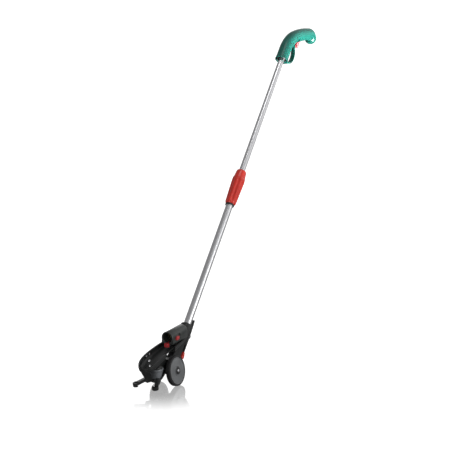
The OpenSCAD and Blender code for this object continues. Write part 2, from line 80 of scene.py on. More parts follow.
def plastic(name, dark, light, rough=0.35, grain=900.0, bump=0.06, wear=0.5, coat=0.0, edge=None):
    """Moulded plastic: mottled colour, fine surface grain, and lighter rubbed edges."""
    m = bpy.data.materials.new(name)
    m.use_nodes = True
    nodes, links = m.node_tree.nodes, m.node_tree.links
    shader = nodes["Principled BSDF"]
    where = nodes.new("ShaderNodeTexCoord")
    cloud = nodes.new("ShaderNodeTexNoise")
    cloud.inputs["Scale"].default_value = 38
    cloud.inputs["Detail"].default_value = 6
    links.new(where.outputs["Object"], cloud.inputs["Vector"])
    ramp = nodes.new("ShaderNodeValToRGB")
    ramp.color_ramp.elements[0].position = 0.3
    ramp.color_ramp.elements[1].position = 0.72
    ramp.color_ramp.elements[0].color = (*dark, 1)
    ramp.color_ramp.elements[1].color = (*light, 1)
    links.new(cloud.outputs["Fac"], ramp.inputs["Fac"])
    surface = nodes.new("ShaderNodeNewGeometry")
    rub = nodes.new("ShaderNodeMapRange")
    rub.inputs["From Min"].default_value = 0.53
    rub.inputs["From Max"].default_value = 0.62
    rub.inputs["To Max"].default_value = wear
    links.new(surface.outputs["Pointiness"], rub.inputs["Value"])
    scuffs = nodes.new("ShaderNodeTexNoise")
    scuffs.inputs["Scale"].default_value = 160
    links.new(where.outputs["Object"], scuffs.inputs["Vector"])
    worn = nodes.new("ShaderNodeMath")
    worn.operation = "MULTIPLY"
    links.new(rub.outputs["Result"], worn.inputs[0])
    links.new(scuffs.outputs["Fac"], worn.inputs[1])
    mix = nodes.new("ShaderNodeMixRGB")
    mix.inputs["Color2"].default_value = (*(edge or [min(1, c * 1.8 + 0.02) for c in light]), 1)
    links.new(worn.outputs["Value"], mix.inputs["Fac"])
    links.new(ramp.outputs["Color"], mix.inputs["Color1"])
    links.new(mix.outputs["Color"], shader.inputs["Base Color"])
    rough_range = nodes.new("ShaderNodeMapRange")
    rough_range.inputs["To Min"].default_value = rough - 0.07
    rough_range.inputs["To Max"].default_value = rough + 0.1
    links.new(scuffs.outputs["Fac"], rough_range.inputs["Value"])
    links.new(rough_range.outputs["Result"], shader.inputs["Roughness"])
    fine = nodes.new("ShaderNodeTexNoise")
    fine.inputs["Scale"].default_value = grain
    fine.inputs["Detail"].default_value = 3
    links.new(where.outputs["Object"], fine.inputs["Vector"])
    relief = nodes.new("ShaderNodeBump")
    relief.inputs["Strength"].default_value = bump
    relief.inputs["Distance"].default_value = 0.0004
    links.new(fine.outputs["Fac"], relief.inputs["Height"])
    links.new(relief.outputs["Normal"], shader.inputs["Normal"])
    if coat:
        shader.inputs["Coat Weight"].default_value = coat
        shader.inputs["Coat Roughness"].default_value = 0.12
    return m


def metal(name, colour, rough, along=None, streak=0.12, bump=0.05):
    """Drawn or turned metal: streaks along one direction in both colour and roughness."""
    m = bpy.data.materials.new(name)
    m.use_nodes = True
    nodes, links = m.node_tree.nodes, m.node_tree.links
    shader = nodes["Principled BSDF"]
    shader.inputs["Metallic"].default_value = 1.0
    where = nodes.new("ShaderNodeTexCoord")
    turn = nodes.new("ShaderNodeMapping")
    links.new(where.outputs["Object"], turn.inputs["Vector"])
    if along is not None:
        turn.vector_type = "TEXTURE"
        turn.inputs["Rotation"].default_value = along
        turn.inputs["Scale"].default_value = (1, 1, 60)
    lines = nodes.new("ShaderNodeTexNoise")
    lines.inputs["Scale"].default_value = 260
    lines.inputs["Detail"].default_value = 5
    links.new(turn.outputs["Vector"], lines.inputs["Vector"])
    ramp = nodes.new("ShaderNodeValToRGB")
    ramp.color_ramp.elements[0].position = 0.25
    ramp.color_ramp.elements[1].position = 0.75
    ramp.color_ramp.elements[0].color = (*[c * (1 - streak) for c in colour], 1)
    ramp.color_ramp.elements[1].color = (*colour, 1)
    links.new(lines.outputs["Fac"], ramp.inputs["Fac"])
    links.new(ramp.outputs["Color"], shader.inputs["Base Color"])
    rough_range = nodes.new("ShaderNodeMapRange")
    rough_range.inputs["To Min"].default_value = max(0.03, rough - 0.06)
    rough_range.inputs["To Max"].default_value = rough + 0.1
    links.new(lines.outputs["Fac"], rough_range.inputs["Value"])
    links.new(rough_range.outputs["Result"], shader.inputs["Roughness"])
    relief = nodes.new("ShaderNodeBump")
    relief.inputs["Strength"].default_value = bump
    relief.inputs["Distance"].default_value = 0.0002
    links.new(lines.outputs["Fac"], relief.inputs["Height"])
    links.new(relief.outputs["Normal"], shader.inputs["Normal"])
    return m


LEAN = math.atan2(POLE.y, POLE.z)
BLACK = plastic("moulded_black", (0.006, 0.007, 0.007), (0.014, 0.015, 0.015), rough=0.33)
DRUM = plastic("moulded_drum", (0.020, 0.024, 0.023), (0.040, 0.044, 0.042), rough=0.36)
GREY = plastic("moulded_grey", (0.11, 0.115, 0.12), (0.17, 0.175, 0.18), rough=0.45, bump=0.1)
# Lighter grey for the turret's cup: painted light standing for the lit face of the black base plastic
CUP_PAINTED_LIGHT = plastic("cup_painted_light", (0.13, 0.14, 0.15), (0.19, 0.20, 0.215), rough=0.30)
GREEN = plastic("moulded_green", (0.0, 0.105, 0.080), (0.001, 0.125, 0.096), rough=0.42, coat=0.12,
                bump=0.03, wear=0.2)
RED = plastic("moulded_red", (0.56, 0.020, 0.010), (0.74, 0.032, 0.016), rough=0.30, coat=0.25,
              bump=0.04, wear=0.3)
PALE_RED = plastic("trigger_red", (0.55, 0.10, 0.11), (0.72, 0.16, 0.17), rough=0.3, coat=0.3)
DEEP_RED = plastic("latch_red", (0.30, 0.016, 0.020), (0.44, 0.030, 0.034), rough=0.32, coat=0.3)
WHITE = plastic("bush_white", (0.62, 0.62, 0.6), (0.78, 0.78, 0.76), rough=0.4)
RUBBER = plastic("tyre_rubber", (0.006, 0.006, 0.0065), (0.016, 0.016, 0.017), rough=0.62,
                 bump=0.25, grain=500, wear=0.35, edge=(0.06, 0.058, 0.055))
LEAD = plastic("lead_rubber", (0.008, 0.008, 0.008), (0.02, 0.02, 0.02), rough=0.55, bump=0.15)
TUBE = metal("polished_tube", (0.80, 0.80, 0.82), 0.30, along=(-LEAN, 0, 0), streak=0.10, bump=0.004)
STEEL = metal("plated_steel", (0.62, 0.62, 0.64), 0.28)
BRASS = metal("brass", (0.78, 0.60, 0.27), 0.25)

SLOT_LOOK = {
    "black_plastic": BLACK, "drum_plastic": DRUM, "green_plastic": GREEN, "red_plastic": RED,
    "pale_red_plastic": PALE_RED, "white_plastic": WHITE, "grey_plastic": GREY, "tyre": RUBBER,
    "tube": TUBE, "steel": STEEL, "brass": BRASS, "lead_rubber": LEAD,
}
NODE_SLOT = {s["node"]: s["material_slot"] for s in frame["record"]["subparts"]}
NODE_BODY = {n: b for b, ns in frame["record"]["behaviour"]["bodies"].items() for n in ns}
NODE_LOOK = {"turret": CUP_PAINTED_LIGHT, "dock_latch": DEEP_RED}


def look(node):
    return NODE_LOOK.get(node) or SLOT_LOOK[NODE_SLOT[node]]


# ---------- mesh helpers ----------

SHARP = 30.0                                    # degrees; a CAD edge sharper than this gets a bevel


def piece(name, bm, node, material=None, smooth_angle=35.0):
    """Turns a bmesh into a piece that stands for a CAD node and rides on its body."""
    bmesh.ops.remove_doubles(bm, verts=bm.verts, dist=1e-6)
    bmesh.ops.recalc_face_normals(bm, faces=bm.faces)
    mesh = bpy.data.meshes.new(name)
    bm.to_mesh(mesh)
    bm.free()
    mesh.materials.append(material or look(node))
    obj = bpy.data.objects.new(name, mesh)
    bpy.context.scene.collection.objects.link(obj)
    shade(obj, smooth_angle)
    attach(obj, NODE_BODY[node])
    return obj


def stands_for(obj, *nodes):
    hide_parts(*nodes)
    return obj


def shade(obj, angle):
    """Smooth shading with sharp edges kept above the angle."""
    mesh = obj.data
    for face in mesh.polygons:
        face.use_smooth = True
    mesh.set_sharp_from_angle(angle=math.radians(angle))


def apply_modifiers(obj):
    bpy.context.view_layer.update()
    done = bpy.data.meshes.new_from_object(obj.evaluated_get(bpy.context.evaluated_depsgraph_get()))
    obj.modifiers.clear()
    obj.data = done
    return obj


def bridge(bm, rings):
    """Skins a list of point rings and caps both ends; each ring is a closed loop of the same count."""
    made = [[bm.verts.new(p) for p in ring] for ring in rings]
    for a, b in zip(made, made[1:]):
        n = len(a)
        for i in range(n):
            j = (i + 1) % n
            bm.faces.new((a[i], a[j], b[j], b[i]))
    bm.faces.new(made[0][::-1])
    bm.faces.new(made[-1])


def lathe(bm, profile, origin, axis, steps=96, radius=None, x_dir=None):
    """Revolves closed profile points (r, h) about axis; radius(r, h, turn) may reshape them."""
    axis = Vector(axis).normalized()
    x = (x_dir or SIDE.cross(axis)).normalized()
    if x.length < 0.5:
        x = Vector((0, 1, 0))
    y = axis.cross(x)
    rings = []
    for i in range(steps):
        a = TAU * i / steps
        ring = []
        for r, h in profile:
            q = radius(r, h, a) if radius else r
            ring.append(origin + axis * h + (x * math.cos(a) + y * math.sin(a)) * q)
        rings.append([bm.verts.new(p) for p in ring])
    n = len(profile)
    for i in range(steps):
        a, b = rings[i], rings[(i + 1) % steps]
        for k in range(n):
            m = (k + 1) % n
            if profile[k][0] < 1e-7 and profile[m][0] < 1e-7:
                continue
            if profile[k][0] < 1e-7:
                bm.faces.new((a[k], a[m], b[m]))
            elif profile[m][0] < 1e-7:
                bm.faces.new((a[k], a[m], b[k]))
            else:
                bm.faces.new((a[k], a[m], b[m], b[k]))


def rounded(points, radius, steps=4):
    """Closed outline with its corners rounded. A radius may be one number or one for each corner."""
    out = []
    n = len(points)
    for i, p in enumerate(points):
        p = Vector(p)
        a = Vector(points[i - 1]) - p
        b = Vector(points[(i + 1) % n]) - p
        r = radius[i] if isinstance(radius, (list, tuple)) else radius
        half = a.angle(b) / 2
        if r <= 0 or half > math.radians(88):
            out.append(tuple(p))
            continue
        cut = min(r / math.tan(half), a.length * 0.48, b.length * 0.48)
        start, end = p + a.normalized() * cut, p + b.normalized() * cut
        for k in range(steps + 1):
            t = k / steps
            q = start * (1 - t) ** 2 + p * 2 * t * (1 - t) + end * t ** 2
            out.append(tuple(q))
    return out


def slab(bm, outline, place, low, high, edge, steps=3):
    """Solid plate: outline points go through place(u, v, w), with w from low to high and soft edges."""
    n = len(outline)
    pts = [Vector(p) for p in outline]
    area = sum(pts[i - 1].cross(pts[i]) for i in range(n))
    turn = 1 if area > 0 else -1
    normals = []
    for i in range(n):
        d = (pts[(i + 1) % n] - pts[i - 1]).normalized()
        normals.append(Vector((d.y, -d.x)) * turn)
    rings = []
    for k in range(steps + 1):
        t = math.pi / 2 * k / steps
        inset, w = edge * (1 - math.sin(t)), low + edge * (1 - math.cos(t))
        rings.append([place(*(p - m * inset), w) for p, m in zip(pts, normals)])
    for k in range(steps + 1):
        t = math.pi / 2 * k / steps
        inset, w = edge * (1 - math.cos(t)), high - edge * (1 - math.sin(t))
        rings.append([place(*(p - m * inset), w) for p, m in zip(pts, normals)])
    bridge(bm, rings)


def softened(node, width, segments=2):
    """A copy of a CAD node with its flat faces merged and its sharp edges rounded."""
    source = frame["nodes"][node]
    bm = bmesh.new()
    bm.from_mesh(source.data)
    bmesh.ops.remove_doubles(bm, verts=bm.verts, dist=2e-6)
    bmesh.ops.dissolve_limit(bm, angle_limit=math.radians(1.0), verts=bm.verts, edges=bm.edges)
    limit = math.radians(SHARP)
    sharp = [e for e in bm.edges if len(e.link_faces) == 2 and e.calc_face_angle(0) > limit]
    bmesh.ops.bevel(bm, geom=sharp, offset=width, segments=segments, profile=0.5,
                    affect="EDGES", clamp_overlap=True)
    obj = piece(node + "_soft", bm, node, smooth_angle=SHARP)
    return stands_for(obj, node)


# ---------- handle ----------

def grip_path():
    """Stations (point, lean, radius share) down the handle's centre line, from the rim to the tip."""
    spot, lean = Vector((0, *pole_point(RIM_S).yz)), LEAN
    out = [(spot + POLE * NECK * k / 6, lean, 1.0) for k in range(6)]
    spot = spot + POLE * NECK
    for radius, turn, count in ((BEND_R, BEND_A, 22), (ARCH_R, ARCH_A, 16), (NOSE_R, NOSE_A, 14)):
        centre = spot + Vector((0, math.cos(lean), -math.sin(lean))) * radius
        for k in range(count + 1):
            a = lean + turn * k / count
            if k < count:
                out.append((centre - Vector((0, math.cos(a), -math.sin(a))) * radius, a, 1.0))
        lean += turn
        spot = centre - Vector((0, math.cos(lean), -math.sin(lean))) * radius
    along = Vector((0, math.sin(lean), math.cos(lean)))
    for k in range(13):
        t = math.pi / 2 * k / 12
        out.append((spot + along * GRIP_R * math.sin(t), lean, math.cos(t)))
    return out


def swell(k):
    """Growth of the outer radius by station: a flared rim, a fuller palm and a slim neck."""
    flare = 0.0011 * math.exp(-(k / 1.2) ** 2)
    palm = 0.0006 * math.sin(min(1.0, max(0.0, (k - 24) / 18)) * math.pi)
    return flare + palm


def handle_shell(side, name, node):
    """Half of the hollow handle, swept along its centre line; side is 1 for left and -1 for right."""
    outer_steps = 28
    bm = bmesh.new()
    rings = []
    for k, (spot, lean, share) in enumerate(grip_path()):
        down = Vector((0, math.cos(lean), -math.sin(lean)))
        ring = []
        for i in range(outer_steps + 1):
            a = -math.pi / 2 + math.pi * i / outer_steps
            seam = 0.00035 if i in (0, outer_steps) else 0.0
            r = (GRIP_R + swell(k) - seam) * share
            x = max(r * math.cos(a), 0.00006) if i not in (0, outer_steps) else 0.00006
            ring.append(spot + SIDE * side * x + down * r * math.sin(a))
        for i in range(outer_steps, -1, -1):
            a = -math.pi / 2 + math.pi * i / outer_steps
            r = max(0.0, (GRIP_R - SHELL_WALL) * share)
            x = max(r * math.cos(a), 0.00006)
            ring.append(spot + SIDE * side * x + down * r * math.sin(a))
        rings.append(ring)
    bridge(bm, rings)
    return piece(name, bm, node, smooth_angle=40)


def guard_path():
    """Centre line of the finger guard from the neck's rim to the underside of the grip."""
    rim = pole_point(RIM_S)
    points = [(0.008, -0.003), (0.020, -0.0078), (0.036, -0.0101), (0.052, -0.0115)]
    for k in range(1, 15):
        a = math.radians(-90 + 90 * k / 14)
        points.append((0.052 + 0.0355 * math.cos(a), 0.024 + 0.0355 * math.sin(a)))
    points += [(0.0878, 0.032), (0.0874, 0.040), (0.0862, 0.047), (0.0845, 0.053)]
    return [Vector((0, rim.y + y, rim.z + z)) for y, z in points]


def guard_strap(side):
    """Half of the finger guard: thick and wide at its foot, thin round the bow."""
    path = guard_path()
    bm = bmesh.new()
    rings = []
    count = len(path)
    for k, spot in enumerate(path):
        ahead = (path[min(k + 1, count - 1)] - path[max(k - 1, 0)]).normalized()
        out = ahead.cross(SIDE).normalized()
        t = k / (count - 1)
        foot, top = math.exp(-(t / 0.09) ** 2), math.exp(-((1 - t) / 0.06) ** 2)
        thick = 0.0027 - 0.0008 * t + 0.0022 * foot + 0.0010 * top
        half = 0.0056 + 0.0016 * math.sin(math.pi * t) + 0.0040 * math.exp(-(t / 0.12) ** 2)
        ring = []
        for i in range(13):
            a = -math.pi / 2 + math.pi * i / 12
            c, s = math.cos(a), math.sin(a)
            x = half * abs(c) ** 0.45
            y = thick * math.copysign(abs(s) ** 0.7, s)
            ring.append(spot + SIDE * side * max(x, 0.00006) + out * y)
        rings.append(ring)
    bridge(bm, rings)
    return as_tool(bm)


def grip_frame():
    """Origin and axes (along, down) of the straight frame that the trigger is drawn in."""
    start = pole_point(RIM_S + NECK)
    centre = start + BACK * BEND_R
    lean = LEAN + BEND_A
    down = Vector((0, math.cos(lean), -math.sin(lean)))
    return centre - down * BEND_R, Vector((0, math.sin(lean), math.cos(lean))), down


def on_grip(down_mm, along_mm, x_mm=0.0):
    origin, along, down = grip_frame()
    return origin + down * down_mm * MM + along * along_mm * MM + SIDE * x_mm * MM


def as_tool(bm):
    """Turns a bmesh into a loose object for a boolean step."""
    bmesh.ops.recalc_face_normals(bm, faces=bm.faces)
    mesh = bpy.data.meshes.new("tool")
    bm.to_mesh(mesh)
    bm.free()
    return bpy.data.objects.new("tool", mesh)


def cutter(outline, low, high):
    """A cutting block drawn in the grip's frame, from low to high across it."""
    bm = bmesh.new()
    slab(bm, outline, lambda u, v, w: on_grip(u, v, w), low, high, 0.6)
    return as_tool(bm)


def boolean(obj, tool, operation):
    bpy.context.scene.collection.objects.link(tool)
    step = obj.modifiers.new("step", "BOOLEAN")
    step.operation = operation
    step.solver = "EXACT"
    step.object = tool
    apply_modifiers(obj)
    bpy.data.objects.remove(tool)
    return obj


def handle_halves():
    for side, word in ((1, "left"), (-1, "right")):
        shell = handle_shell(side, "handle_shell_" + word, "handle_" + word)
        boolean(shell, guard_strap(side), "UNION")
        slot = rounded([(-3, 5), (30, 5), (30, 49), (-3, 49)], 2.5)
        boolean(shell, cutter(slot, -6.6, 6.6), "DIFFERENCE")
        notch = rounded([(4.0, -6), (30, -6), (30, 8.5), (4.0, 8.5)], [3, 0, 0, 3])
        boolean(shell, cutter(notch, -20, 20), "DIFFERENCE")
        shade(shell, 38)
        stands_for(shell, "handle_" + word)


def notch_shade_sheet(side, word):
    """Black curved sheet seen through the notch ahead of the trigger: painted shade standing for the shadowed gap
    inside the handle.
    """
    bm = bmesh.new()
    outer, inner = 15.6, 14.4
    arc = [math.radians(8 + 50 * k / 12) for k in range(13)]
    outline = [(outer * math.sin(a), outer * math.cos(a)) for a in arc]
    outline += [(inner * math.sin(a), inner * math.cos(a)) for a in arc[::-1]]
    slab(bm, outline, lambda u, v, w: on_grip(u, w, side * v), -7.5, 10.5, 0.3)
    stands_for(piece("notch_shade_sheet_" + word, bm, "handle_" + word, BLACK, 40), "handle_" + word)


def neck_plate():
    """Recessed ring that closes the neck round the tube, in black as painted shade for the rim's dark underside.
    """
    bm = bmesh.new()
    hole, inside = UPPER_R + 0.0004, GRIP_R - 0.0028
    low, high = 0.0022, 0.0040
    lathe(bm, [(hole, low), (inside, low), (inside, high), (hole, high)],
          pole_point(RIM_S), POLE, 96, x_dir=SIDE)
    # BLACK rather than the handle's green: painted shade on the neck's underside
    stands_for(piece("neck_plate", bm, "handle_left", BLACK, 40), "handle_left")


def trigger_blade():
    """Trigger with a hollowed finger face; the outline is down and along the grip, in millimetres."""
    bm = bmesh.new()
    outline = rounded([(4.6, 45), (4.6, 13), (14, 9), (24, 8.4), (34.5, 9.5), (36, 17.5), (29, 21.5),
                       (21, 30), (17.5, 38), (12.5, 45)], [1.5, 2, 3, 4, 5, 4, 6, 6, 6, 3], 6)
    slab(bm, outline, lambda u, v, w: on_grip(u, v, w), -6, 6, 1.6, 4)
    stands_for(piece("trigger_blade", bm, "trigger", PALE_RED), "trigger")


# ---------- pole ----------

def tube(name, node, radius, wall):
    """Drawn tube between the ends of its CAD node, with small chamfers."""
    low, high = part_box(node)
    half = radius * math.sin(LEAN)
    start = (low.z + half - HEAD.z) / POLE.z
    end = (high.z - half - HEAD.z) / POLE.z
    chamfer = 0.0002
    profile = [(radius - wall, start), (radius - chamfer, start), (radius, start + chamfer)]
    parts = 6
    profile += [(radius, start + (end - start) * k / parts) for k in range(1, parts)]
    profile += [(radius, end - chamfer), (radius - chamfer, end), (radius - wall, end)]
    bm = bmesh.new()
    lathe(bm, profile, HEAD, POLE, 72, x_dir=SIDE)
    stands_for(piece(name, bm, node), node)


def collar():
    """Twist collar with lobes round its sleeve, fading out at both ends."""
    foot = 0.350
    length = 0.110
    lobes = 6
    outline = [(12.05, 0), (12.5, 0), (13.0, 0.4), (15.0, 5.2), (15.3, 6.4), (15.8, 16), (16.3, 28),
               (16.9, 44), (17.4, 58), (17.8, 70), (18.0, 76), (18.0, 79), (17.7, 80.4), (17.0, 81.0),
               (16.9, 82.4), (17.5, 83.0), (17.7, 84.0), (17.3, 86.0), (16.6, 88), (16.1, 92),
               (15.5, 97), (14.9, 103), (14.5, 106.4), (14.0, 108.6), (13.2, 109.8), (12.4, 110),
               (9.2, 110), (9.2, 107.4), (12.05, 107.4)]
    profile = []
    for (r0, h0), (r1, h1) in zip(outline, outline[1:] + outline[:1]):
        pieces = 6 if h1 - h0 > 8 else 1
        profile += [((r0 + (r1 - r0) * k / pieces) * MM, foot + (h0 + (h1 - h0) * k / pieces) * MM)
                    for k in range(pieces)]

    def fluted(r, h, turn):
        t = (h - foot) / length
        if r < 0.0125 or t > 0.735:
            return r
        fade = min(1.0, t / 0.10) * min(1.0, (0.735 - t) / 0.05)
        fade = fade * fade * (3 - 2 * fade)
        wave = 0.5 + 0.5 * math.cos(lobes * turn)
        return r - 0.0026 * fade * wave ** 1.6 - 0.00010 * fade * (0.5 + 0.5 * math.cos(90 * turn))

    bm = bmesh.new()
    lathe(bm, profile, HEAD, POLE, 360, radius=fluted, x_dir=SIDE)
    stands_for(piece("twist_collar", bm, "clamp_collar", RED, smooth_angle=50), "clamp_collar")


def head_dome():
    """Stepped cap on the frame's round head, with the tube's hole through it."""
    outline = [(10.1, 0), (16.0, 0), (16.2, 0.3), (16.2, 1.3), (15.8, 1.7), (15.9, 2.0), (15.4, 2.6),
               (14.6, 3.3), (13.6, 3.9), (12.5, 4.5), (11.5, 5.0), (11.0, 5.2), (10.7, 5.1), (10.1, 4.9)]
    foot = (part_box("head_cap")[0].z - HEAD.z + 16 * MM * math.sin(LEAN)) / POLE.z
    bm = bmesh.new()
    lathe(bm, [(r * MM, h * MM) for r, h in outline], HEAD + POLE * foot, POLE, 96, x_dir=SIDE)
    stands_for(piece("head_dome", bm, "head_cap", smooth_angle=40), "head_cap")


# ---------- wheels ----------

def wheel_parts(side, word):
    """Disc, tyre, cap and axle pin of one wheel; profiles are radius and place along the axle."""
    axis = Vector((SPIN.x * side, SPIN.y, SPIN.z))
    hub = Vector((HUB.x * side, HUB.y, HUB.z))
    up = Vector((0, 1, 0))

    def turned(name, outline, node, material=None, radius=None, steps=120, angle=32):
        bm = bmesh.new()
        lathe(bm, [(r * MM, h * MM) for r, h in outline], hub, axis, steps, radius, up)
        return stands_for(piece(name, bm, node, material, angle), node)

    top = HUB.z / MM
    rim = top - 4.8
    disc = [(4.05, -7.2), (8.6, -7.2), (9.05, -6.8), (9.05, 2.8), (9.6, 3.3), (rim - 3.7, 3.3),
            (rim - 3.0, 2.6), (rim - 3.0, -6.0), (rim - 2.6, -6.4), (rim - 0.2, -6.4), (rim, -6.2),
            (rim, 5.6), (rim - 0.4, 6.2), (rim - 1.6, 6.3), (rim - 2.1, 5.9), (rim - 2.4, 5.3),
            (rim - 3.0, 5.2), (rim - 3.4, 5.5), (rim - 4.2, 5.9), (rim - 8, 5.75), (22, 5.45),
            (14.5, 5.2), (13.4, 5.3), (12.9, 5.9), (12.3, 6.4), (11.6, 6.5), (10.9, 6.2), (10.5, 5.4),
            (9.9, 4.9), (9.3, 5.2), (9.05, 6.6), (8.7, 7.0), (4.05, 7.0)]
    turned("wheel_disc_" + word, disc, word + "_wheel")
    half, low, corner = 7.0, rim + 0.02, 3.4
    tread = [(low, -half + 1.0), (low + 0.6, -half + 0.3), (low + 1.2, -half)]
    for k in range(7):
        a = math.radians(90 - 90 * k / 6)
        tread.append((top - corner + corner * math.cos(a), -half + corner - corner * math.sin(a)))
    deep = top - 0.7
    for groove in (-2.3, 0.0, 2.3):
        tread += [(top, groove - 0.55), (deep, groove - 0.35), (deep, groove + 0.35), (top, groove + 0.55)]
    for k in range(7):
        a = math.radians(90 * k / 6)
        tread.append((top - corner + corner * math.cos(a), half - corner + corner * math.sin(a)))
    tread += [(low + 1.2, half), (low + 0.6, half - 0.3), (low, half - 1.0)]
    blocks = 60

    def lugs(r, h, turn):
        depth = 0.00045 * max(0.0, math.cos(blocks * turn)) ** 6
        return r - depth if r > (top - 1.5) * MM and abs(h) > 2.6 * MM else r

    turned("tyre_" + word, tread, word + "_tyre", RUBBER, lugs, 360, 30)
    cap = [(4.05, 7.15), (9.1, 7.15), (9.3, 7.35), (9.3, 7.9), (8.9, 8.15), (8.1, 8.2), (7.8, 8.5),
           (7.0, 9.1), (6.2, 9.3), (5.6, 9.2), (5.2, 8.8), (4.05, 8.7)]
    turned("wheel_cap_" + word, cap, word + "_axle_cap", BLACK, None, 72)
    pin = [(0, -19), (3.6, -19), (4.0, -18.6), (4.0, -8.9), (6.0, -8.9), (6.0, -7.4), (4.0, -7.4),
           (4.0, 8.9), (3.9, 9.3), (3.4, 9.8), (2.6, 10.0), (1.2, 10.05), (0, 10.05)]
    turned("axle_pin_" + word, pin, word + "_axle", STEEL, None, 72)


# ---------- cradle ----------

# Stations of the boat: y, half width, floor height, rim height, corner radius, in millimetres
BOAT = [(58, 20, 98, 106, 2.5), (30, 22.4, 93.6, 105.0, 4), (0, 24.4, 88.4, 103.4, 5.6),
        (-30, 25, 83.8, 100.6, 7), (-55, 25, 79.4, 97.8, 8.5), (-72, 24.9, 75.6, 94.6, 9.6),
        (-86, 24.4, 71.2, 91.0, 10.4), (-96, 23.2, 68.4, 87.8, 10.4), (-104, 21.2, 67.0, 84.4, 9.6),
        (-110, 18.4, 66.4, 81.2, 8.2), (-114.5, 14.6, 66.2, 78.8, 6.4), (-117.6, 9.6, 66.4, 77.2, 4.2),
        (-119.2, 4.6, 67.4, 76.6, 2.2), (-119.6, 0.5, 69.0, 76.4, 0.3)]


def boat_at(y):
    """Boat section at y by smooth interpolation between its stations."""
    for a, b in zip(BOAT, BOAT[1:]):
        if a[0] >= y >= b[0]:
            t = (a[0] - y) / (a[0] - b[0])
            i = BOAT.index(a)
            p = BOAT[max(i - 1, 0)]
            q = BOAT[min(i + 2, len(BOAT) - 1)]
            out = []
            for k in range(1, 5):
                sa = (b[k] - p[k]) / max(p[0] - b[0], 1e-6) * (a[0] - b[0])
                sb = (q[k] - a[k]) / max(a[0] - q[0], 1e-6) * (a[0] - b[0])
                h = (2 * t ** 3 - 3 * t ** 2 + 1) * a[k] + (t ** 3 - 2 * t ** 2 + t) * sa
                out.append(h + (3 * t ** 2 - 2 * t ** 3) * b[k] + (t ** 3 - t ** 2) * sb)
            return out
    return list(BOAT[-1][1:])


def u_section(y, w, floor, rim, r, lip):
    """Half of the U from the rim down to the keel, then mirrored; lip pushes the top rows outward."""
    r = min(r, w * 0.9, (rim - floor) * 0.7)
    side = [(w + lip, rim), (w + lip, rim - 2.2), (w + lip, rim - 4.2), (w + lip * 0.4, rim - 5.0),
            (w, rim - 5.4)]
    low = floor + r
    if side[-1][1] < low + 0.5:
        top = max(low + 0.5, rim - 5.4)
        side = [(x, max(z, top)) for x, z in side]
    last = side[-1][1]
    side += [(w, last + (low - last) * k / 3) for k in range(1, 3)]
    for k in range(7):
        a = math.radians(90 * k / 6)
        side.append((w - r + r * math.cos(a), low - r * math.sin(a)))
    side += [((w - r) * (1 - k / 4), floor) for k in range(1, 5)]
    full = side + [(-x, z) for x, z in side[-2::-1]]
    return [Vector((x * MM, y * MM, z * MM)) for x, z in full]


def cradle_tray():
    """The open tray, with its hole for the pole's head, its window and its seat for the column."""
    wall = 2.4
    count = 60
    ys = [58 - 177.6 * math.sin(math.pi / 2 * k / count) for k in range(count)] + [-119.6]
    bm = bmesh.new()
    outer, inner = [], []
    for k, y in enumerate(ys):
        w, floor, rim, r = boat_at(y)
        lip = 0.9 * min(1.0, w / 10)
        outer.append([bm.verts.new(p) for p in u_section(y, w, floor, rim, r, lip)])
        y_in = min(58.0, y + wall * max(0.0, min(1.0, (-y - 80) / 30)))
        w_in = max(0.4, (w if y > -80 else boat_at(y_in)[0]) - wall)
        inner.append([bm.verts.new(p) for p in
                      u_section(y_in if y < 57.9 else y, w_in, floor + wall, rim, max(0.3, r - wall), 0.0)])
    n = len(outer[0])
    for a, b, c, d in zip(outer, outer[1:], inner, inner[1:]):
        for i in range(n - 1):
            bm.faces.new((a[i], a[i + 1], b[i + 1], b[i]))
            bm.faces.new((c[i], d[i], d[i + 1], c[i + 1]))
        for i in (0, n - 1):
            bm.faces.new((a[i], b[i], d[i], c[i]))
    for end in (0, -1):
        for i in range(n - 1):
            bm.faces.new((outer[end][i], inner[end][i], inner[end][i + 1], outer[end][i + 1]))
    tray = piece("cradle_tray", bm, "cradle", smooth_angle=48)
    hole = bmesh.new()
    head_r, low, high = 0.0161, -0.1, 0.02
    lathe(hole, [(0, low), (head_r, low), (head_r, high), (0, high)], HEAD, POLE, 64, x_dir=SIDE)
    boolean(tray, as_tool(hole), "DIFFERENCE")
    opening = bmesh.new()
    side_view = rounded([(-50.5, 76), (-2, 76), (-2, 103.4), (-28.9, 100.3), (-50.5, 94.8)],
                        [0, 0, 1.6, 4, 1.6])
    slab(opening, side_view, lambda u, v, w: straight(w, u, v), 6.5, 30, 0.4)
    boolean(tray, as_tool(opening), "DIFFERENCE")
    column = bmesh.new()
    side_view = [(29.8, 80), (82, 80), (82, 98.1), (31.8, 98.1)]
    slab(column, side_view, lambda u, v, w: straight(w, u, v), -15.1, 15.1, 0.01)
    boolean(tray, as_tool(column), "DIFFERENCE")
    shade(tray, 48)
    return stands_for(tray, "cradle")


def straight(x, y, z):
    return Vector((x * MM, y * MM, z * MM))


